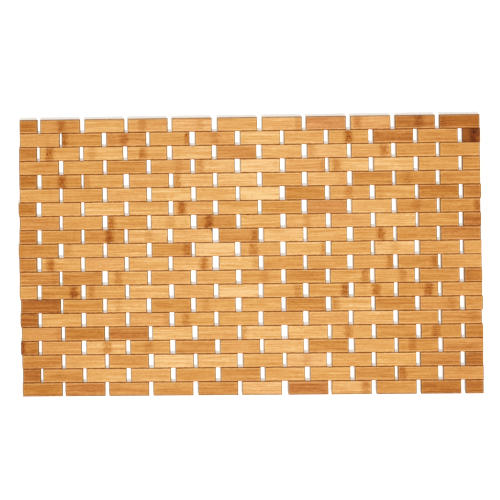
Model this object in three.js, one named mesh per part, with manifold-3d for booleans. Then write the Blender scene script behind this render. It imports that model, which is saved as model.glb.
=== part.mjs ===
// A bamboo bath mat: rows of small bamboo bricks laid like a brick wall, each drilled across its
// grain and strung on cords that run from one long edge of the mat to the other.
// Millimetres, +Z up, X along the bricks, Y along the cords. The origin is under the mat's middle.

import * as THREE from 'three';
import { mergeVertices } from 'three/addons/utils/BufferGeometryUtils.js';
import Module from 'manifold-3d';

const wasm = await Module();
wasm.setup();

// The mat as a whole.
const ROWS = 20;
const ROW_PITCH = 24.1;
const CORDS = 21;
const CORD_PITCH = 38.3;

// One brick. A short brick hangs on one cord and fills the end of each row.
const BRICK_LENGTH = 69.4;
const SHORT_BRICK_LENGTH = 31;
const BRICK_THICKNESS = 5;
const EASED_EDGE = 0.8;

// What lies between the bricks of two rows, and how far two joined rows bite into each other.
const ROW_SLIT = 0.3;
const ROW_BITE = 0.1;

// The cords, and the holes that are drilled for them at half the bricks' thickness.
const CORD_RADIUS = 1;
const CORD_SIDES = 8;
const CORD_END_INSET = 1;
const BORE_RADIUS = 1.5;
const BORE_SIDES = 6;

// Hand-strung unevenness: the cords stand a little wider apart in the middle of the mat, the mat's
// short ends bow outwards, each brick has slipped a little along its row, and each row as a whole
// has slipped to the right by the amount listed, from the top edge down.
const CORD_SPREAD = 1.5;
const END_BOW = 1.7;
const BRICK_SLIP = 1.4;
const SLIP_SEED = 19541;
const ROW_SLIPS = [
  0, 0, -0.5, 0, 0, 0.5, -0.5, 0.5, 0, 0,
  0, 0, 0.5, 0.5, 0.5, 1.5, 0.5, 1.5, 1.5, 1.5,
];

const ROWS_PER_COURSE = 2;
const MID_CORD = (CORDS - 1) / 2;

const bamboo = new THREE.MeshStandardMaterial({ color: 0xdba15a, roughness: 0.5, metalness: 0 });
const elastic = new THREE.MeshStandardMaterial({ color: 0xe9e4d8, roughness: 0.9, metalness: 0 });

// A repeatable number from -1 to 1 for one brick.
function chance(row, brick) {
  const wave = Math.sin(row * 12.9898 + brick * 78.233 + SLIP_SEED) * 43758.5453;
  return 2 * (wave - Math.floor(wave)) - 1;
}

// Where a cord runs, along X.
function cordX(cord) {
  const share = (cord - MID_CORD) / MID_CORD;
  return (cord - MID_CORD) * CORD_PITCH + CORD_SPREAD * Math.sin(Math.PI * share);
}

// The middle of a row, along Y. Row 0 is the top edge.
function rowY(row) {
  return ((ROWS - 1) / 2 - row) * ROW_PITCH;
}

// The bricks of one row, each with its middle and its length along X. Even rows start with a short
// brick on the first cord, and odd rows end with one on the last.
function bricksOf(row) {
  const startsShort = row % 2 === 0;
  const fromMiddle = rowY(row) / rowY(0);
  const bricks = [];
  for (let cord = startsShort ? -1 : 0, brick = 0; cord < CORDS; cord += 2, brick += 1) {
    const held = [cord, cord + 1].filter((c) => c >= 0 && c < CORDS);
    const holdX = held.reduce((sum, c) => sum + cordX(c), 0) / held.length;
    const bow = END_BOW * (1 - fromMiddle ** 2) * (holdX / cordX(CORDS - 1));
    bricks.push({
      x: holdX + bow + ROW_SLIPS[row] + BRICK_SLIP * chance(row, brick),
      length: held.length === 1 ? SHORT_BRICK_LENGTH : BRICK_LENGTH,
    });
  }
  return bricks;
}

// A block standing on Z 0 whose four top edges are eased by a chamfer.
function easedBlock(length, width, thickness) {
  const block = new THREE.BoxGeometry(length, width, thickness, 1, 1, 2);
  const corners = block.attributes.position;
  for (let i = 0; i < corners.count; i += 1) {
    const level = corners.getZ(i);
    if (level > thickness / 4) {
      corners.setX(i, corners.getX(i) - Math.sign(corners.getX(i)) * EASED_EDGE);
      corners.setY(i, corners.getY(i) - Math.sign(corners.getY(i)) * EASED_EDGE);
    } else if (level > -thickness / 4) {
      corners.setZ(i, thickness / 2 - EASED_EDGE);
    }
  }
  return block.translate(0, 0, thickness / 2);
}

// A straight rod along Y, with the given number of sides.
function rodAlongY(radius, length, sides) {
  return new THREE.CylinderGeometry(radius, radius, length, sides);
}

// A closed three.js geometry as a solid that can be joined and cut.
function solidOf(geometry) {
  const bare = new THREE.BufferGeometry();
  bare.setAttribute('position', geometry.getAttribute('position'));
  bare.setIndex(geometry.index);
  const merged = mergeVertices(bare, 1e-4);
  return new wasm.Manifold(
    new wasm.Mesh({
      numProp: 3,
      vertProperties: merged.getAttribute('position').array,
      triVerts: new Uint32Array(merged.index.array),
    }),
  );
}

// A solid as a three.js geometry.
function geometryOf(solid) {
  const mesh = solid.getMesh();
  const geometry = new THREE.BufferGeometry();
  geometry.setAttribute('position', new THREE.BufferAttribute(mesh.vertProperties, 3));
  geometry.setIndex(new THREE.BufferAttribute(mesh.triVerts, 1));
  geometry.computeVertexNormals();
  return geometry;
}

// A course is two rows of bricks that press against each other, joined where they meet, with every
// hole drilled through. Its own middle is at Y 0.
function courseSolid(firstRow) {
  const width = ROW_PITCH - ROW_SLIT / 2 + ROW_BITE / 2;
  let course = null;
  for (let row = firstRow; row < firstRow + ROWS_PER_COURSE; row += 1) {
    const side = row === firstRow ? 1 : -1;
    const y = (side * (width - ROW_BITE)) / 2;
    for (const { x, length } of bricksOf(row)) {
      const brick = solidOf(easedBlock(length, width, BRICK_THICKNESS).translate(x, y, 0));
      course = course ? course.add(brick) : brick;
    }
  }
  const drill = rodAlongY(BORE_RADIUS, 2 * ROWS_PER_COURSE * ROW_PITCH, BORE_SIDES);
  for (let cord = 0; cord < CORDS; cord += 1) {
    const bore = drill.clone().translate(cordX(cord), 0, BRICK_THICKNESS / 2);
    course = course.subtract(solidOf(bore));
  }
  return course;
}

function addCourses(mat) {
  for (let row = 0, course = 1; row < ROWS; row += ROWS_PER_COURSE, course += 1) {
    const mesh = new THREE.Mesh(geometryOf(courseSolid(row)), bamboo);
    mesh.name = `course_${String(course).padStart(2, '0')}`;
    mesh.position.y = (rowY(row) + rowY(row + 1)) / 2;
    mat.add(mesh);
  }
}

function addCords(mat) {
  const length = ROWS * ROW_PITCH - ROW_SLIT - 2 * CORD_END_INSET;
  for (let cord = 0; cord < CORDS; cord += 1) {
    const mesh = new THREE.Mesh(rodAlongY(CORD_RADIUS, length, CORD_SIDES), elastic);
    mesh.name = `cord_${String(cord + 1).padStart(2, '0')}`;
    mesh.position.set(cordX(cord), 0, BRICK_THICKNESS / 2);
    mat.add(mesh);
  }
}

const mat = new THREE.Group();
addCourses(mat);
addCords(mat);

// The slipped rows make the outline uneven, so the mat is moved to stand centred on its origin.
const middle = new THREE.Box3().setFromObject(mat).getCenter(new THREE.Vector3());
mat.position.set(-middle.x, -middle.y, 0);

export default mat;
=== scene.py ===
# A bamboo bath mat, lying flat: twenty rows of small bamboo bricks, laid like a brick wall and strung
# on elastic cords, on a white studio floor. Metres, +Z up, X along the bricks, Y along the cords.
import math
import random

import bmesh
import bpy
import numpy as np
from mathutils import Matrix, Vector


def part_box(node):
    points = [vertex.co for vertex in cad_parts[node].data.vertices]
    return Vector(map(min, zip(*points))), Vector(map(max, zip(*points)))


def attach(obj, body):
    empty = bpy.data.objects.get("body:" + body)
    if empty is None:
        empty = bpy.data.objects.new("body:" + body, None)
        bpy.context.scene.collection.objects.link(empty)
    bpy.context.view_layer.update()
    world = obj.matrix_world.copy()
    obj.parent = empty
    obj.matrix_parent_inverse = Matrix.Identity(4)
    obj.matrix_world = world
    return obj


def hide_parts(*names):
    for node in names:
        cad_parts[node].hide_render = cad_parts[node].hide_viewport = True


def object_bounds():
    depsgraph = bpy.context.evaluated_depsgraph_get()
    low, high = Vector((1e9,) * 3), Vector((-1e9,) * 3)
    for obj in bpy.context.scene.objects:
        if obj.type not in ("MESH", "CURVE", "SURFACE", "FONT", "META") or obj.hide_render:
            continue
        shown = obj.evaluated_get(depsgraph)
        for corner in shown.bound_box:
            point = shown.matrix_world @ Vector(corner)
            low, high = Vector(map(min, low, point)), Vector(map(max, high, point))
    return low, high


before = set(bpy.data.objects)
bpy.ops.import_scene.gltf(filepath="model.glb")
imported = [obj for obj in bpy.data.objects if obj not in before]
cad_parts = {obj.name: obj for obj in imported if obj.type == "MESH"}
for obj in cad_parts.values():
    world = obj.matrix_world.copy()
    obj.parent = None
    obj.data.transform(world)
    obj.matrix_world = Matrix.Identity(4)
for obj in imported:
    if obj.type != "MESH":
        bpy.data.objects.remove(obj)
cad_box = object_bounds()


# The bamboo bricks. Each is a strip of bamboo planed to one thickness, cut to length, eased along its
# edges, drilled across the grain and oiled. They hang on the cords in rows that break joint, and two
# rows that press on each other make one course of the frame.
MM = 0.001
THICKNESS = 0.005
BRICK_WIDTH = 0.024
CAD_CHAMFER = 0.0008
TOP_EASE = 0.0009
FOOT_EASE = 0.0006
END_EASE = 0.0005
EDGE_BAND = 0.001
BORE_RADIUS = 0.00135
BORE_RIM = 0.00155
RIM_DEPTH = 0.00025
BORE_REACH = 0.0019
STEP_ALONG = 0.005
SIDE_STEPS = 4
BORE_STEPS = 4 * SIDE_STEPS

# How far hand work and wear take a brick from its drawing.
MOST_YAW = math.radians(0.02)
MOST_SHIFT = 0.00001
MOST_THINNING = 0.03
FACE_WAVE = 0.00004
SIDE_WAVE = 0.000015
SLACK = 0.00007

ROWS = 20
BRICKS_IN_ROW = 11
GROWTH_SEED = 59765
random.seed(GROWTH_SEED)


def middle_of(node):
    """The middle of a node's box in the frame."""
    low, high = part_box(node)
    return (low + high) / 2


courses = sorted(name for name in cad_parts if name.startswith("course"))
cord_names = sorted(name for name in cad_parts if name.startswith("cord"))
cord_places = [middle_of(name).x for name in cord_names]


def brick_section():
    """A brick's outline as seen from its end: Y, Z, and the direction in which each point faces."""
    half = BRICK_WIDTH / 2
    middle = 0.3 * half
    right = [(middle, 0, 0, -1), (half - FOOT_EASE, 0, 0, -1)]
    for angle in np.radians([-60, -30]):
        y = half - FOOT_EASE + FOOT_EASE * math.cos(angle)
        z = FOOT_EASE + FOOT_EASE * math.sin(angle)
        right.append((y, z, math.cos(angle), math.sin(angle)))
    first_side = len(right)
    for z in np.linspace(FOOT_EASE, THICKNESS - TOP_EASE, SIDE_STEPS + 1):
        right.append((half, z, 1, 0))
    for angle in np.radians([22.5, 45, 67.5]):
        y = half - TOP_EASE + TOP_EASE * math.cos(angle)
        z = THICKNESS - TOP_EASE + TOP_EASE * math.sin(angle)
        right.append((y, z, math.cos(angle), math.sin(angle)))
    for y in (half - TOP_EASE, half - TOP_EASE - EDGE_BAND, middle):
        right.append((y, THICKNESS, 0, 1))
    left = [(-y, z, -to_y, to_z) for y, z, to_y, to_z in reversed(right)]
    return np.array(right + left), first_side


SECTION, FIRST_SIDE = brick_section()


def spread(start, stop, step):
    """Places from start to stop, both included, about a step apart."""
    return list(np.linspace(start, stop, max(2, round((stop - start) / step) + 1)))


def brick_stations(length, bores):
    """Where a brick's outline is repeated along it, how far it is drawn in there, and the station at
    which the squared patch round each bore starts."""
    half = length / 2
    turns = [math.radians(angle) for angle in (0, 30, 60)]
    rounded = [(half - END_EASE + END_EASE * math.cos(a), END_EASE * (1 - math.sin(a))) for a in turns]
    places = [-x for x, _ in rounded]
    places.append(END_EASE - half)
    at = END_EASE + EDGE_BAND - half
    patches = []
    for bore in bores:
        places += spread(at, bore - BORE_REACH, STEP_ALONG)
        patches.append(len(places) - 1)
        patch_step = 2 * BORE_REACH / SIDE_STEPS
        places += [bore - BORE_REACH + patch_step * k for k in range(1, SIDE_STEPS)]
        at = bore + BORE_REACH
    places += spread(at, half - END_EASE - EDGE_BAND, STEP_ALONG)
    places.append(half - END_EASE)
    places += [x for x, _ in reversed(rounded)]
    drawn_in = [d for _, d in rounded]
    drawn_in += [0] * (len(places) - 2 * len(rounded))
    drawn_in += [d for _, d in reversed(rounded)]
    return np.array(places), np.array(drawn_in), patches


def bore_mouth(points, bore, side, start, foot):
    """The rings of a bore's mouth on one side of a brick: the square that is left out of the side, then
    the countersunk rim and the bore itself, whose points are added to the brick's."""
    around = len(SECTION)
    along = [(start + k, 0) for k in range(SIDE_STEPS)]
    up = [(start + SIDE_STEPS, k) for k in range(SIDE_STEPS)]
    back = [(start + SIDE_STEPS - k, SIDE_STEPS) for k in range(SIDE_STEPS)]
    down = [(start, SIDE_STEPS - k) for k in range(SIDE_STEPS)]
    rings = [[i * around + foot + side * k for i, k in along + up + back + down]]
    for radius, depth in ((BORE_RIM, 0), (BORE_RADIUS, RIM_DEPTH)):
        rings.append(list(range(len(points), len(points) + BORE_STEPS)))
        for k in range(BORE_STEPS):
            turn = 2 * math.pi * k / BORE_STEPS - 0.75 * math.pi
            x = bore + radius * math.cos(turn)
            y = side * (BRICK_WIDTH / 2 - depth)
            points.append((x, y, THICKNESS / 2 + radius * math.sin(turn)))
    return rings


def brick_mesh(length, bores):
    """One drilled brick about its own middle: points, faces, and which points line a bore."""
    places, drawn_in, patches = brick_stations(length, bores)
    around = len(SECTION)
    grid = np.empty((len(places), around, 3))
    grid[:, :, 0] = places[:, None]
    grid[:, :, 1:] = SECTION[None, :, :2] - drawn_in[:, None, None] * SECTION[None, :, 2:]
    points = grid.reshape(-1, 3).tolist()
    outer = len(points)
    right_side = range(FIRST_SIDE, FIRST_SIDE + SIDE_STEPS)
    left_side = range(around - 1 - FIRST_SIDE - SIDE_STEPS, around - 1 - FIRST_SIDE)
    sides = set(right_side) | set(left_side)
    drilled = {start + k for start in patches for k in range(SIDE_STEPS)}
    faces = []
    for i in range(len(places) - 1):
        for j in range(around):
            if i in drilled and j in sides:
                continue
            k = (j + 1) % around
            faces.append((i * around + j, i * around + k, (i + 1) * around + k, (i + 1) * around + j))
    faces.append(tuple(range(around)))
    faces.append(tuple(range((len(places) - 1) * around, len(places) * around)))
    for bore, start in zip(bores, patches):
        right_mouth = bore_mouth(points, bore, 1, start, FIRST_SIDE)
        left_mouth = bore_mouth(points, bore, -1, start, around - 1 - FIRST_SIDE)
        hoops = right_mouth + left_mouth[::-1]
        for first, second in zip(hoops, hoops[1:]):
            for k in range(BORE_STEPS):
                m = (k + 1) % BORE_STEPS
                faces.append((first[k], first[m], second[m], second[k]))
    lines_bore = np.arange(len(points)) >= outer
    return np.array(points), faces, lines_bore


def rows_of(course):
    """The middle and length along X of each brick in a course's two rows, read from the corners of the
    bricks' top faces in the frame. The row nearer the top edge comes first."""
    low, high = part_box(course)
    middle = (low.y + high.y) / 2
    top = [v.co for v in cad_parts[course].data.vertices if v.co.z > high.z - MM / 10]
    rows = []
    for side in (1, -1):
        ends = sorted({round(p.x, 5) for p in top if side * (p.y - middle) > 0})
        pairs = zip(ends[::2], ends[1::2])
        rows.append([((a + b) / 2, b - a + 2 * (CAD_CHAMFER - SLACK)) for a, b in pairs])
    return rows


def row_middle(row):
    """The middle of a row along Y: the rows lie evenly between the mat's two long edges."""
    outermost = cad_box[1].y - BRICK_WIDTH / 2 - SLACK
    return outermost * (1 - 2 * row / (ROWS - 1))


# What grew in each brick. Tone runs from 0, pale straw, past 1, deep brown. A knot is where the cane had
# a joint: its place is a share of the brick's length, and its strength runs from 0 to 1. A plain brick
# grows by chance, a little darker towards the mat's ends and long edges.
PLAIN_TONE = 0.3
PLAIN_SPREAD = 0.3
DRIFT_TO_ENDS = 0.3
DRIFT_TO_EDGES = 0.1
MOST_REDNESS = 0.25
KNOTS_AMONG_PLAIN = 0.3
STRONGEST_PLAIN_KNOT = 0.4

# The bricks that catch the eye, by their tone. Rows count from 1 at the top edge, and bricks from 0 at
# the left end.
MARKED_SPREAD = 0.08
TONES = {
    "pale": 0.03,
    "straw": 0.22,
    "honey": 0.4,
    "amber": 0.62,
    "toffee": 0.82,
    "brown": 0.98,
    "burnt": 1.28,
}
MARKED = [
    # row, brick, tone, redness, knot, strength
    (1, 0, "toffee", 0.0, 0.0, 0.0),
    (1, 1, "amber", 0.2, 0.52, 0.6),
    (1, 3, "honey", 0.3, 0.36, 0.5),
    (1, 4, "straw", 0.4, 0.7, 0.2),
    (1, 6, "straw", 0.3, 0.92, 0.35),
    (1, 7, "amber", 0.8, 0.0, 0.0),
    (1, 8, "honey", 0.5, 0.16, 0.5),
    (1, 9, "toffee", 0.3, 0.6, 0.6),
    (1, 10, "brown", 0.1, 0.1, 0.3),
    (2, 1, "amber", 0.0, 0.02, 0.9),
    (2, 2, "amber", 0.3, 0.45, 0.6),
    (2, 3, "honey", 0.1, 0.96, 0.9),
    (2, 4, "honey", 0.3, 0.5, 0.35),
    (2, 7, "honey", 0.0, 0.5, 1.0),
    (2, 8, "toffee", 0.3, 0.0, 0.0),
    (2, 10, "burnt", 0.2, 0.62, 1.0),
    (3, 0, "toffee", 0.1, 0.0, 0.0),
    (3, 1, "honey", 0.0, 0.23, 0.9),
    (3, 2, "straw", 0.0, 0.2, 0.3),
    (3, 3, "honey", 0.1, 0.38, 0.6),
    (3, 5, "amber", 0.3, 0.0, 0.0),
    (3, 7, "straw", 0.3, 0.1, 0.3),
    (3, 8, "honey", 0.2, 0.8, 0.6),
    (4, 2, "amber", 0.1, 0.0, 0.0),
    (4, 3, "honey", 0.2, 0.67, 0.3),
    (4, 4, "straw", 0.2, 0.12, 0.5),
    (4, 5, "pale", 0.2, 0.0, 0.0),
    (4, 6, "honey", 0.3, 0.96, 0.3),
    (4, 7, "straw", 0.1, 0.2, 0.6),
    (5, 0, "toffee", 0.0, 0.0, 0.0),
    (5, 1, "amber", 0.0, 0.53, 0.9),
    (5, 4, "straw", 0.2, 0.1, 0.6),
    (5, 8, "amber", 0.1, 0.0, 0.0),
    (5, 9, "amber", 0.0, 0.3, 0.3),
    (6, 0, "honey", 0.0, 0.0, 0.0),
    (6, 3, "straw", 0.0, 0.0, 0.0),
    (6, 5, "pale", 0.0, 0.0, 0.0),
    (6, 6, "amber", 0.0, 0.0, 0.0),
    (6, 7, "honey", 0.1, 0.48, 0.5),
    (6, 9, "toffee", 0.0, 0.0, 0.0),
    (6, 10, "toffee", 0.2, 0.0, 0.0),
    (7, 0, "toffee", 0.0, 0.0, 0.0),
    (7, 2, "straw", 0.0, 0.0, 0.0),
    (7, 4, "honey", 0.2, 0.2, 1.0),
    (7, 5, "honey", 0.0, 0.0, 0.0),
    (7, 6, "amber", 0.0, 0.0, 0.0),
    (7, 7, "amber", 0.4, 0.0, 0.0),
    (7, 9, "amber", 0.0, 0.5, 0.3),
    (7, 10, "amber", 0.0, 0.97, 0.7),
    (8, 1, "honey", 0.0, 0.0, 0.0),
    (8, 2, "honey", 0.0, 0.1, 0.9),
    (8, 3, "straw", 0.0, 0.47, 0.3),
    (8, 4, "amber", 0.1, 0.3, 0.9),
    (8, 5, "honey", 0.0, 0.0, 0.0),
    (8, 8, "straw", 0.0, 0.0, 0.0),
    (8, 10, "brown", 0.3, 0.0, 0.0),
    (9, 0, "toffee", 0.0, 0.0, 0.0),
    (9, 1, "amber", 0.0, 0.0, 0.0),
    (9, 2, "amber", 0.0, 0.62, 0.9),
    (9, 5, "amber", 0.1, 0.93, 0.5),
    (9, 8, "honey", 0.0, 0.7, 0.9),
    (9, 9, "amber", 0.0, 0.0, 0.0),
    (10, 3, "amber", 0.0, 0.88, 0.6),
    (10, 4, "pale", 0.2, 0.0, 0.0),
    (10, 5, "honey", 0.1, 0.33, 0.6),
    (10, 6, "straw", 0.0, 0.96, 0.5),
    (10, 7, "honey", 0.0, 0.0, 0.0),
    (11, 1, "honey", 0.0, 0.25, 0.9),
    (11, 4, "straw", 0.1, 0.78, 0.9),
    (11, 5, "straw", 0.0, 0.93, 0.3),
    (11, 8, "honey", 0.0, 0.92, 0.6),
    (11, 9, "amber", 0.0, 0.93, 0.5),
    (12, 2, "honey", 0.0, 0.25, 0.6),
    (12, 5, "honey", 0.0, 0.57, 0.3),
    (12, 6, "amber", 0.0, 0.0, 0.0),
    (12, 7, "honey", 0.0, 0.86, 0.6),
    (12, 8, "honey", 0.0, 0.7, 0.5),
    (13, 0, "honey", 0.0, 0.0, 0.0),
    (13, 1, "amber", 0.0, 0.82, 0.9),
    (13, 6, "honey", 0.0, 0.85, 0.4),
    (13, 7, "honey", 0.0, 0.9, 0.9),
    (13, 8, "honey", 0.0, 0.55, 0.9),
    (13, 9, "amber", 0.0, 0.75, 0.9),
    (14, 0, "brown", 0.2, 0.0, 0.0),
    (14, 1, "amber", 0.0, 0.0, 0.0),
    (14, 3, "amber", 0.0, 0.0, 0.0),
    (14, 6, "amber", 0.0, 0.0, 0.0),
    (14, 7, "straw", 0.1, 0.1, 0.6),
    (14, 8, "amber", 0.0, 0.0, 0.0),
    (15, 0, "brown", 0.1, 0.0, 0.0),
    (15, 1, "honey", 0.0, 0.0, 0.0),
    (15, 4, "honey", 0.0, 0.3, 0.5),
    (15, 5, "honey", 0.0, 0.0, 0.0),
    (16, 1, "toffee", 0.0, 0.0, 0.0),
    (16, 2, "toffee", 0.3, 0.0, 0.0),
    (16, 5, "straw", 0.1, 0.04, 0.5),
    (16, 7, "honey", 0.0, 0.4, 0.6),
    (16, 8, "amber", 0.0, 0.0, 0.0),
    (16, 9, "amber", 0.0, 0.38, 0.6),
    (16, 10, "toffee", 0.0, 0.0, 0.0),
    (17, 0, "toffee", 0.0, 0.03, 1.0),
    (17, 2, "straw", 0.1, 0.52, 0.6),
    (17, 3, "honey", 0.0, 0.45, 0.4),
    (17, 4, "amber", 0.1, 0.0, 0.0),
    (17, 7, "amber", 0.0, 0.0, 0.0),
    (17, 9, "amber", 0.0, 0.36, 0.5),
    (18, 5, "honey", 0.0, 0.0, 0.0),
    (18, 6, "straw", 0.4, 0.5, 0.3),
    (18, 7, "honey", 0.0, 0.0, 0.0),
    (18, 8, "honey", 0.0, 0.0, 0.0),
    (18, 10, "brown", 0.2, 0.0, 0.0),
    (19, 0, "brown", 0.2, 0.0, 0.0),
    (19, 1, "amber", 0.1, 0.0, 0.0),
    (19, 5, "amber", 0.2, 0.0, 0.0),
    (19, 7, "honey", 0.0, 0.0, 0.0),
    (19, 9, "amber", 0.0, 0.12, 0.6),
    (20, 0, "toffee", 0.0, 0.0, 0.0),
    (20, 1, "toffee", 0.4, 0.0, 0.0),
    (20, 5, "straw", 0.4, 0.0, 0.0),
    (20, 6, "toffee", 0.5, 0.0, 0.0),
    (20, 7, "straw", 0.3, 0.85, 0.7),
    (20, 9, "brown", 0.0, 0.0, 0.0),
    (20, 10, "brown", 0.1, 0.0, 0.0),
]
marks = {(row, brick): what for row, brick, *what in MARKED}


def growth_of(row, brick):
    """A brick's tone, redness, knot place as a share of its length, and knot strength."""
    across = abs(2 * brick / (BRICKS_IN_ROW - 1) - 1)
    down = abs(2 * row / (ROWS - 1) - 1)
    drawn = [random.random() for _ in range(5)]
    if (row + 1, brick) in marks:
        tone, redness, knot, strength = marks[row + 1, brick]
        return TONES[tone] + MARKED_SPREAD * (drawn[0] - 0.5), redness, knot, strength
    tone = PLAIN_TONE + DRIFT_TO_ENDS * across**3 + DRIFT_TO_EDGES * down**8
    tone += PLAIN_SPREAD * (drawn[0] + drawn[1] - 1)
    strength = STRONGEST_PLAIN_KNOT * drawn[3] if drawn[4] < KNOTS_AMONG_PLAIN else 0
    return tone, MOST_REDNESS * drawn[2], drawn[2], strength


# A brick takes its grain from a place of its own: its lot times this many millimetres along the grain
# and across it.
GRAIN_STRIDE = (131, 37)


def facts_of(points, length, lines_bore, row, brick):
    """What the bamboo finish reads at each point, with lengths in millimetres. Grain is the place in the
    grain. Knot is how far off the knot is, how strong it is, and how far the mat's long edge is. Edges
    is how far the brick's own long edge, end and foot are. Growth is tone, redness and figure."""
    tone, redness, knot, strength = growth_of(row, brick)
    lot, figure = random.uniform(1, 99), random.random() ** 2
    side = random.choice((-1, 1))
    share = points[:, 0] / length + 0.5
    count = len(points)
    outward = {0: 1, ROWS - 1: -1}.get(row, 0)
    to_rim = BRICK_WIDTH / 2 - outward * points[:, 1] if outward else np.full(count, BRICK_WIDTH)
    to_long_edge = (BRICK_WIDTH / 2 - abs(points[:, 1])) * (1 - lines_bore)
    to_end = length / 2 - abs(points[:, 0])
    grain_x = points[:, 0] / MM + GRAIN_STRIDE[0] * lot
    grain_y = points[:, 1] / MM + GRAIN_STRIDE[1] * lot
    return {
        "grain": np.c_[grain_x, grain_y, points[:, 2] / MM],
        "knot": np.c_[side * (share - knot) * length / MM, np.full(count, strength), to_rim / MM],
        "edges": np.c_[to_long_edge / MM, to_end / MM, points[:, 2] / MM],
        "growth": np.c_[np.full(count, tone), np.full(count, redness), np.full(count, figure)],
    }


def worked_by_hand(points, length):
    """The brick a little thinner to one side, with faces that wave, and not quite square to its row."""
    along = 2 * points[:, 0] / length
    across = 2 * points[:, 1] / BRICK_WIDTH
    lean_x, lean_y = random.uniform(-0.5, 0.5), random.uniform(-0.5, 0.5)
    thin = MOST_THINNING * (0.5 + 0.5 * (lean_x * along + lean_y * across)) * random.random()
    wave = FACE_WAVE * (1 + np.sin(3 * along + random.uniform(0, 6)) * np.cos(2 * across))
    top = np.clip(points[:, 2] / THICKNESS, 0, 1) ** 2
    made = points.copy()
    made[:, 2] -= (thin * THICKNESS + wave) * top
    made[:, 1] += SIDE_WAVE * np.sin(2 * along + random.uniform(0, 6))
    yaw = random.uniform(-MOST_YAW, MOST_YAW)
    turned = made @ np.array(Matrix.Rotation(yaw, 3, "Z")).T
    turned[:, 1] += random.uniform(-MOST_SHIFT, MOST_SHIFT)
    return turned


# One brick, the fifth of the ninth row, has lost a corner, the one toward +X and the top edge. It is
# counted as the listed bricks are, and the break is one flat face.
CHIPPED = (9, 4)
CHIP_ALONG = 0.0036
CHIP_ACROSS = 0.0072
CHIP_DEPTH = 0.0048


def chip_plane(length):
    """A point on the break, and its direction, about the brick's middle."""
    point = (length / 2 - CHIP_ALONG, BRICK_WIDTH / 2, THICKNESS)
    return point, (1 / CHIP_ALONG, 1 / CHIP_ACROSS, 1 / CHIP_DEPTH)


def break_off(shell, first, last, point, direction):
    """Cuts away what lies beyond a plane, of the brick whose points run from first to last, and marks
    the face that the break leaves."""
    broken = shell.faces.layers.float.new("broken")
    shell.verts.ensure_lookup_table()
    own = list(shell.verts[first:last])
    for vert in shell.verts[first:last]:
        own += [*vert.link_edges, *vert.link_faces]
    whole = list(dict.fromkeys(own))
    plane = {"plane_co": point, "plane_no": direction}
    cut = bmesh.ops.bisect_plane(shell, geom=whole, clear_outer=True, **plane)
    rim = [piece for piece in cut["geom_cut"] if isinstance(piece, bmesh.types.BMEdge)]
    for face in bmesh.ops.edgeloop_fill(shell, edges=rim)["faces"]:
        face[broken] = 1


def mesh_object(name, points, faces, facts, material, breaks=()):
    """A closed, smooth-shaded object with one attribute for each of its facts, its breaks cut."""
    mesh = bpy.data.meshes.new(name)
    mesh.from_pydata(points.tolist(), [], faces)
    for fact, values in facts.items():
        attribute = mesh.attributes.new(fact, "FLOAT_VECTOR", "POINT")
        attribute.data.foreach_set("vector", values.astype(np.float32).ravel())
    shell = bmesh.new()
    shell.from_mesh(mesh)
    for place in breaks:
        break_off(shell, *place)
    bmesh.ops.recalc_face_normals(shell, faces=shell.faces)
    shell.to_mesh(mesh)
    shell.free()
    mesh.shade_smooth()
    mesh.materials.append(material)
    made = bpy.data.objects.new(name, mesh)
    bpy.context.scene.collection.objects.link(made)
    return made


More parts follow.
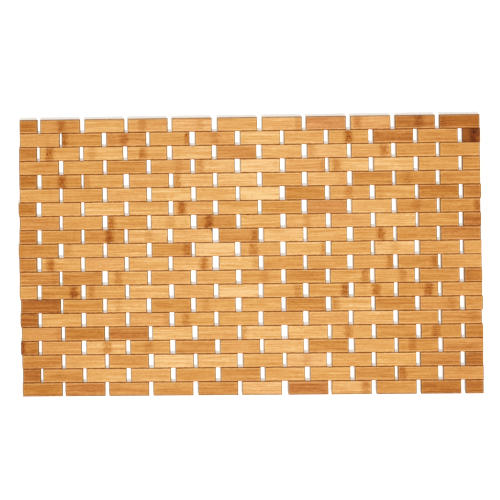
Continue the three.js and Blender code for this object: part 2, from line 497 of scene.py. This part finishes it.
class Wire:
    """A socket in a node tree. Arithmetic on wires and numbers adds Math nodes."""

    def __init__(self, tree, socket=None):
        self.tree = tree
        self.socket = socket

    def node(self, kind, settings=None, sockets=None, output=0):
        """A new node of that kind, with its settings, then its sockets' values or links."""
        made = self.tree.nodes.new("ShaderNode" + kind)
        for name, value in (settings or {}).items():
            if name == "stops":
                ramp = made.color_ramp
                while len(ramp.elements) < len(value):
                    ramp.elements.new(1)
                for element, (place, colour) in zip(ramp.elements, value):
                    element.position = place
                    element.color = (*colour, 1)
            else:
                setattr(made, name, value)
        for name, value in (sockets or {}).items():
            if isinstance(value, Wire):
                self.tree.links.new(value.socket, made.inputs[name])
            else:
                made.inputs[name].default_value = value
        return Wire(self.tree, made.outputs[output] if len(made.outputs) else None)

    def math(self, operation, *values):
        """A Math node on wires and numbers."""
        return self.node("Math", {"operation": operation}, dict(enumerate(values)))

    def __add__(self, other):
        return self.math("ADD", self, other)

    def __sub__(self, other):
        return self.math("SUBTRACT", self, other)

    def __rsub__(self, other):
        return self.math("SUBTRACT", other, self)

    def __mul__(self, other):
        return self.math("MULTIPLY", self, other)

    def __truediv__(self, other):
        return self.math("DIVIDE", self, other)

    def __rtruediv__(self, other):
        return self.math("DIVIDE", other, self)

    def __abs__(self):
        return self.math("ABSOLUTE", self)

    __radd__ = __add__
    __rmul__ = __mul__

    def least(self, other):
        """The smaller of the two."""
        return self.math("MINIMUM", self, other)

    def fade(self, start, stop):
        """0 at start and 1 at stop, with a smooth turn at both. Start may be the larger."""
        low, high = min(start, stop), max(start, stop)
        span = {"Value": self, "From Min": low, "From Max": high}
        if start > stop:
            span |= {"To Min": 1.0, "To Max": 0.0}
        return self.node("MapRange", {"interpolation_type": "SMOOTHSTEP"}, span)

    def parts(self):
        """The three numbers of a vector."""
        split = self.node("SeparateXYZ", None, {0: self})
        return [Wire(self.tree, socket) for socket in split.socket.node.outputs]

    def fact(self, name):
        """The three numbers that a mesh carries at each point under that name."""
        return self.node("Attribute", {"attribute_name": name}, output="Vector").parts()

    def mixed(self, other, share, base=None, blend="MIX"):
        """This colour, or the base given in its place, mixed with another by that share."""
        first = self if base is None else (*base, 1)
        second = other if isinstance(other, Wire) else (*other, 1)
        settings = {"data_type": "RGBA", "blend_type": blend}
        return self.node("Mix", settings, {0: share, 6: first, 7: second}, output=2)

    def noise(self, x, y, z, sizes, detail=2.0, roughness=0.5):
        """Noise whose features are about that long along each axis."""
        scaled = [axis / size for axis, size in zip((x, y, z), sizes)]
        where = self.node("CombineXYZ", None, dict(enumerate(scaled)))
        look = {"Vector": where, "Scale": 1.0, "Detail": detail, "Roughness": roughness}
        return self.node("TexNoise", None, look)


def srgb(red, green, blue):
    """A colour given as 0 to 255 on a screen, as linear light."""
    return tuple(((c / 255 + 0.055) / 1.055) ** 2.4 for c in (red, green, blue))


def new_material(name):
    """A material with an empty node tree, and a wire to start its nodes from."""
    material = bpy.data.materials.new(name)
    material.use_nodes = True
    material.node_tree.nodes.clear()
    return material, Wire(material.node_tree)


def finish_material(start, surface):
    """Closes a material with a principled surface of those sockets."""
    start.node("OutputMaterial", None, {"Surface": start.node("BsdfPrincipled", None, surface)})


# Bamboo by its tone, from straw to a burnt brown, and the same for redder canes.
DEEPEST = 1.8
BAMBOO_TONES = [
    (0.0, srgb(243, 203, 143)),
    (0.2 / DEEPEST, srgb(231, 177, 105)),
    (0.4 / DEEPEST, srgb(221, 161, 86)),
    (0.6 / DEEPEST, srgb(211, 145, 68)),
    (0.8 / DEEPEST, srgb(196, 126, 50)),
    (1.0 / DEEPEST, srgb(180, 104, 32)),
    (1.4 / DEEPEST, srgb(148, 76, 16)),
    (1.0, srgb(92, 42, 12)),
]
REDDER_TONES = [
    (0.0, srgb(240, 192, 138)),
    (0.4 / DEEPEST, srgb(222, 155, 96)),
    (0.8 / DEEPEST, srgb(196, 121, 66)),
    (1.0 / DEEPEST, srgb(174, 97, 44)),
    (1.4 / DEEPEST, srgb(130, 64, 28)),
    (1.0, srgb(76, 34, 16)),
]
# Painted highlight: a light line just inside the eased top edges.
HIGHLIGHT_PAINT = srgb(250, 206, 140)
# Painted shade on the sawn sides and ends, in the seams between rows and in the slots, partly the darker
# oil-soaked wood.
SIDE_SHADE_AND_OIL = srgb(152, 76, 0)
END_SHADE_AND_OIL = srgb(132, 96, 54)
KNOT_STAIN = (0.75, 0.54, 0.25)
# Painted shade along the mat's two long edges.
RIM_SHADE_PAINT = (0.68, 0.69, 0.72)
PORE_DARK = srgb(60, 32, 18)
# Painted shade on the face of a break.
BREAK_SHADE = srgb(62, 48, 26)

# The marks in the grain: how long, wide and deep one is, in millimetres.
DASH = (24, 0.7, 0.7)
LINE = (120, 1.7, 2)
STREAK = (70, 3.8, 4)
CLOUD = (32, 9, 9)
MOTTLE = (6.5, 2.1, 2.5)
FLECK = (2.8, 2.2, 3)
RING = (2.6, 6, 9)
PORE = (4, 0.5, 0.45)

# What leads fibres, stains and cuts astray: the sizes of its noise in millimetres, and how far it goes.
# Fibres drift most in a figured brick. A ring is bowed at each point by the square of the distance from
# the brick's axis, divided by RING_BOW.
DRIFT = (38, 15, 20)
PLAIN_DRIFT = 0.6
FIGURED_DRIFT = 5
CURL = (4, 5, 9)
CURL_REACH = 7
RING_BOW = 18
STAIN_WAVER = (16, 5, 20)
STAIN_REACH = 7
EDGE_WAVER = (7, 7, 9)
EDGE_REACH = 1.6

# Where each stain, painted highlight and painted shade begins and where it is full, in millimetres: along
# the brick from its knot, or in from its own edges and ends, or in from the mat's long edge.
KNOT_STAIN_NEAR = (-8, -2)
KNOT_STAIN_FAR = (12, 2)
KNOT_RINGS = (12, 3)
EDGE_SHADE_AND_OIL = (1.5, 0.6)
HIGHLIGHT_OUT = (1.2, 1.8)
HIGHLIGHT_IN = (3.4, 2.2)
RIM_SHADE_FADE = (4, 1.5)


def oiled_bamboo():
    """Bamboo with its grain and knots, and with what sawing, oil and wear leave along its edges."""
    material, start = new_material("oiled_bamboo")
    x, y, z = start.fact("grain")
    off_knot, strength, to_rim = start.fact("knot")
    to_edge, to_end, height = start.fact("edges")
    tone, redness, figure = start.fact("growth")

    # The cane's joint: a soft brown zone across the brick, and a wider band round it where the fibres
    # bow in rings and break up into flecks.
    ragged = off_knot + STAIN_REACH * (start.noise(x, y, z, STAIN_WAVER) - 0.5)
    zone = ragged.fade(*KNOT_STAIN_NEAR) * ragged.fade(*KNOT_STAIN_FAR) * strength
    band = abs(ragged).fade(*KNOT_RINGS) * strength
    curl = CURL_REACH * (start.noise(x, y, z, CURL, detail=1.0) - 0.5) * band
    from_axis = BRICK_WIDTH / MM / 2 - to_edge
    bowed = off_knot - from_axis * from_axis / RING_BOW + curl
    rings = start.noise(bowed, y, z, RING, detail=1.0).fade(0.46, 0.64)
    flecks = start.noise(x + curl, y + curl, z, FLECK).fade(0.47, 0.62)

    # The fibres: hair-thin dark dashes, and the broader streaks of harder and softer growth.
    wander = PLAIN_DRIFT + FIGURED_DRIFT * figure
    drift = wander * (start.noise(x, y, z, DRIFT, detail=0.0) - 0.5)
    fibre_y = y + drift + curl
    dashes = start.noise(x, fibre_y, z, DASH, detail=3.0, roughness=0.65).fade(0.46, 0.74)
    lines = start.noise(x, fibre_y, z, LINE, roughness=0.6) - 0.5
    streaks = start.noise(x, fibre_y, z, STREAK, detail=1.0) - 0.5
    clouds = start.noise(x, fibre_y, z, CLOUD) - 0.5
    mottle = start.noise(x, fibre_y, z, MOTTLE, roughness=0.6) - 0.5

    # Each kind of mark darkens or lightens the brick's own tone by its share.
    depth = tone - 0.03 + 1.1 * lines + 0.4 * streaks + 0.4 * clouds + 0.26 * dashes + 0.6 * mottle
    depth = depth + (0.4 * flecks + 0.32 * rings) * band
    yellow = start.node("ValToRGB", {"stops": BAMBOO_TONES}, {"Fac": depth / DEEPEST})
    red = start.node("ValToRGB", {"stops": REDDER_TONES}, {"Fac": depth / DEEPEST})
    colour = yellow.mixed(red, redness).mixed(KNOT_STAIN, zone, blend="MULTIPLY")

    # Sawn and eased edges: a painted highlight line on top, painted shade along the mat's long edges, and
    # dark cuts that are partly painted shade in the seams and slots and partly oil soaked into the sawn
    # wood, less red at the ends, with open pores in the end grain.
    uneven = start.noise(x, y, z, EDGE_WAVER, detail=3.0) - 0.5
    nearest = to_edge.least(to_end) + EDGE_REACH * uneven
    highlight_inward = to_edge.fade(*HIGHLIGHT_IN) + 0.4 * to_end.fade(*HIGHLIGHT_IN)
    on_top = height.fade(4.4, 4.9)
    # Painted highlight along the eased top edges.
    painted_highlight = nearest.fade(*HIGHLIGHT_OUT) * highlight_inward * on_top * depth.fade(1.3, 0.9)
    colour = colour.mixed(HIGHLIGHT_PAINT, 0.43 * painted_highlight)
    # Painted shade along the mat's long edges.
    colour = colour.mixed(RIM_SHADE_PAINT, to_rim.fade(*RIM_SHADE_FADE), blend="MULTIPLY")
    # Painted shade on the sawn sides and ends near the seams and slots, partly oil soaked into the wood.
    cut = nearest.fade(*EDGE_SHADE_AND_OIL) * (0.45 + 0.55 * height.fade(2, 4))
    shade_and_oil_colour = start.mixed(END_SHADE_AND_OIL, (to_edge - to_end).fade(-0.5, 0.5), base=SIDE_SHADE_AND_OIL)
    colour = colour.mixed(shade_and_oil_colour, 0.92 * cut, blend="DARKEN")
    pores = start.noise(x, y, z, PORE, detail=1.0).fade(0.56, 0.66)
    end_grain = to_end.fade(0.2, 0.05)
    colour = colour.mixed(PORE_DARK, 0.6 * pores * end_grain)

    # Painted shade on the face of a break, darker than the planed top.
    broken = start.node("Attribute", {"attribute_name": "broken"}, output="Fac")
    colour = colour.mixed(BREAK_SHADE, 0.9 * broken)

    # Dark fibres and flecks lie a little low, and dark fibres and cuts shine less than the rest.
    relief = 0.6 * dashes + 0.5 * flecks * band + 0.3 * streaks
    normal = start.node("Bump", None, {"Strength": 0.5, "Distance": 0.0002, "Height": 1 - relief})
    roughness = 0.46 + 0.14 * dashes + 0.4 * cut
    surface = {"Base Color": colour, "Roughness": roughness, "Normal": normal, "Specular IOR Level": 0.2}
    finish_material(start, surface)
    return material


def course_of_bricks(number, course):
    """The points, faces, facts and breaks of all the bricks in a course."""
    points, faces, facts, breaks, count = [], [], {}, [], 0
    for side, bricks in enumerate(rows_of(course)):
        row = 2 * number + side
        for brick, (x, length) in enumerate(bricks):
            bores = [cord - x for cord in cord_places if abs(cord - x) < length / 2]
            own_points, own_faces, lines_bore = brick_mesh(length, bores)
            own_facts = facts_of(own_points, length, lines_bore, row, brick)
            middle = (x, row_middle(row), 0)
            points.append(worked_by_hand(own_points, length) + middle)
            faces += [tuple(corner + count for corner in face) for face in own_faces]
            for fact, values in own_facts.items():
                facts.setdefault(fact, []).append(values)
            if (row + 1, brick) == CHIPPED:
                point, direction = chip_plane(length)
                breaks.append((count, count + len(own_points), np.add(middle, point), direction))
            count += len(own_points)
    facts = {fact: np.concatenate(values) for fact, values in facts.items()}
    return np.concatenate(points), faces, facts, breaks


bamboo = oiled_bamboo()
for number, course in enumerate(courses):
    points, faces, facts, breaks = course_of_bricks(number, course)
    name = f"bricks_{number + 1:02d}"
    strung = mesh_object(name, points, faces, facts, bamboo, breaks)
    strung.modifiers.new("even_shading", "WEIGHTED_NORMAL").keep_sharp = False
    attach(strung, "root")
    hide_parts(course)


# The cords. Each is a round elastic, braided of white yarn over rubber, that runs through the bores of
# all twenty rows. Its trimmed ends sit just inside the bricks of the outer rows, and a tip's small dome
# starts from a flat that is TIP_FLAT of the cord's cross-section.
CORD_RADIUS = 0.001
BRAID_RELIEF = 0.00005
BRAID_PITCH = 0.0036
BRAID_STRANDS = 4
CORD_SIDES = 12
CORD_STEP = 0.0015
CORD_TIP = 0.0006
TIP_FLAT = 0.05
YARN = srgb(228, 221, 206)
YARN_SHADE = srgb(150, 138, 118)


def braided_tube(start, length):
    """A tube along Y with the ribs of a braid, closed by a small dome at each end."""
    steps = round(length / CORD_STEP)
    points = []
    facts = []
    for k in range(steps + 1):
        along = length * k / steps
        to_tip = min(along, length - along)
        blunt = math.sqrt(max(TIP_FLAT, 1 - max(0.0, 1 - to_tip / CORD_TIP) ** 2))
        for side in range(CORD_SIDES):
            turn = 2 * math.pi * side / CORD_SIDES
            wind = 2 * math.pi * along / BRAID_PITCH
            lift = math.cos(BRAID_STRANDS * turn + wind) * math.cos(BRAID_STRANDS * turn - wind)
            radius = (CORD_RADIUS - BRAID_RELIEF * (1 - lift)) * blunt
            points.append(start + Vector((radius * math.cos(turn), along, radius * math.sin(turn))))
            facts.append((turn, along / MM, to_tip / MM))
    faces = []
    for k in range(steps):
        for side in range(CORD_SIDES):
            after = (side + 1) % CORD_SIDES
            ring, following = k * CORD_SIDES, (k + 1) * CORD_SIDES
            faces.append((ring + side, ring + after, following + after, following + side))
    faces.append(tuple(range(CORD_SIDES)))
    faces.append(tuple(range(steps * CORD_SIDES, (steps + 1) * CORD_SIDES)))
    return np.array(points), faces, {"braid": np.array(facts)}


def braided_elastic():
    """White yarn, shaded between the ribs of the braid and unevenly greyed."""
    material, start = new_material("braided_elastic")
    turn, along, to_tip = start.fact("braid")
    wind = along * (2 * math.pi / (BRAID_PITCH / MM))
    crossing = start.math("COSINE", BRAID_STRANDS * turn + wind)
    recrossing = start.math("COSINE", BRAID_STRANDS * turn - wind)
    rib = (crossing * recrossing).fade(-0.8, 0.8)
    grime = start.noise(turn, along, to_tip, (2, 9, 9))
    colour = start.mixed(YARN, 0.7 * rib + 0.3 * grime, base=YARN_SHADE)
    normal = start.node("Bump", None, {"Strength": 0.6, "Distance": 0.0001, "Height": rib})
    surface = {"Base Color": colour, "Roughness": 0.85, "Normal": normal, "Sheen Weight": 0.3}
    finish_material(start, surface)
    return material


elastic = braided_elastic()
for name in cord_names:
    low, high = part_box(name)
    axis_start = Vector((middle_of(name).x, low.y, middle_of(name).z))
    points, faces, facts = braided_tube(axis_start, high.y - low.y)
    cord = mesh_object(name.replace("cord", "elastic"), points, faces, facts, elastic)
    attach(cord, "root")
    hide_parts(name)


# The floor is a sheet of matt white acrylic, lit a little from below, as for a catalogue picture. The mat
# lies loose on it.
FLOOR_SIZE = 80
FLOOR_WHITE = (0.96, 0.955, 0.94, 1)
GLOW_WHITE = (1, 0.985, 0.9, 1)
GLOW_STRENGTH = 0.43


def white_floor():
    """The floor as one large square under the mat."""
    material, start = new_material("white_floor")
    surface = {"Base Color": FLOOR_WHITE, "Roughness": 0.9, "Specular IOR Level": 0.1}
    surface |= {"Emission Color": GLOW_WHITE, "Emission Strength": GLOW_STRENGTH}
    finish_material(start, surface)
    mesh = bpy.data.meshes.new("floor")
    half = FLOOR_SIZE / 2
    corners = [(-half, -half, 0), (half, -half, 0), (half, half, 0), (-half, half, 0)]
    mesh.from_pydata(corners, [], [(0, 1, 2, 3)])
    mesh.materials.append(material)
    floor = bpy.data.objects.new("floor", mesh)
    bpy.context.scene.collection.objects.link(floor)
    return floor


white_floor()


# The lights: a room with white walls and a greyer ceiling, and one softbox beyond the mat's near long
# edge, a little to its right, which throws the short shadows at the far side of the bricks. The walls
# turn into the ceiling between two rises, each the sine of an angle above the floor.
WALL_LIGHT = 1.0
CEILING_LIGHT = 0.45
WALL_TOP = (0.12, 0.36)
KEY_HEIGHT = math.radians(37)
KEY_SWING = math.radians(22)
KEY_DISTANCE = 32.0
KEY_SIZE = 3.8
KEY_POWER = 10250

world = bpy.data.worlds.new("white_room")
world.use_nodes = True
world.node_tree.nodes.clear()
room = Wire(world.node_tree)
rise = room.node("TexCoord", output="Generated").parts()[2]
white = room.mixed([CEILING_LIGHT] * 3, rise.fade(*WALL_TOP), base=[WALL_LIGHT] * 3)
room.node("OutputWorld", None, {"Surface": room.node("Background", None, {"Color": white})})
bpy.context.scene.world = world

lamp = bpy.data.lights.new("softbox", "AREA")
lamp.shape = "DISK"
lamp.size = KEY_SIZE
lamp.energy = KEY_POWER
softbox = bpy.data.objects.new("softbox", lamp)
bpy.context.scene.collection.objects.link(softbox)
toward_key = Vector((math.sin(KEY_SWING), -math.cos(KEY_SWING), math.tan(KEY_HEIGHT))).normalized()
softbox.location = KEY_DISTANCE * toward_key
softbox.rotation_euler = toward_key.to_track_quat("Z", "Y").to_euler()

# Colours are shown as they are, with no film curve.
bpy.context.scene.view_settings.view_transform = "Standard"


# The camera hangs nearly straight above the mat, very slightly off its middle and off level, and frames
# it with a white margin all round.
CAMERA_HEIGHT = 1.7
CAMERA_OFFSET = (0.0007, 0.0104)
CAMERA_LENS = 70.5
CAMERA_TILT = (math.radians(-0.22), math.radians(-1.26))
CAMERA_ROLL = math.radians(0.592)
SENSOR_WIDTH = 36
FARTHEST_SEEN = 50

view = bpy.data.cameras.new("camera")
view.sensor_width = SENSOR_WIDTH
view.lens = CAMERA_LENS
view.clip_end = FARTHEST_SEEN
camera = bpy.data.objects.new("camera", view)
bpy.context.scene.collection.objects.link(camera)
bpy.context.scene.camera = camera
turned = Matrix.Rotation(CAMERA_ROLL, 4, "Z") @ Matrix.Rotation(CAMERA_TILT[0], 4, "X")
off_level = (turned @ Matrix.Rotation(CAMERA_TILT[1], 4, "Y")).inverted()
camera.matrix_world = off_level @ Matrix.Translation((*CAMERA_OFFSET, CAMERA_HEIGHT))
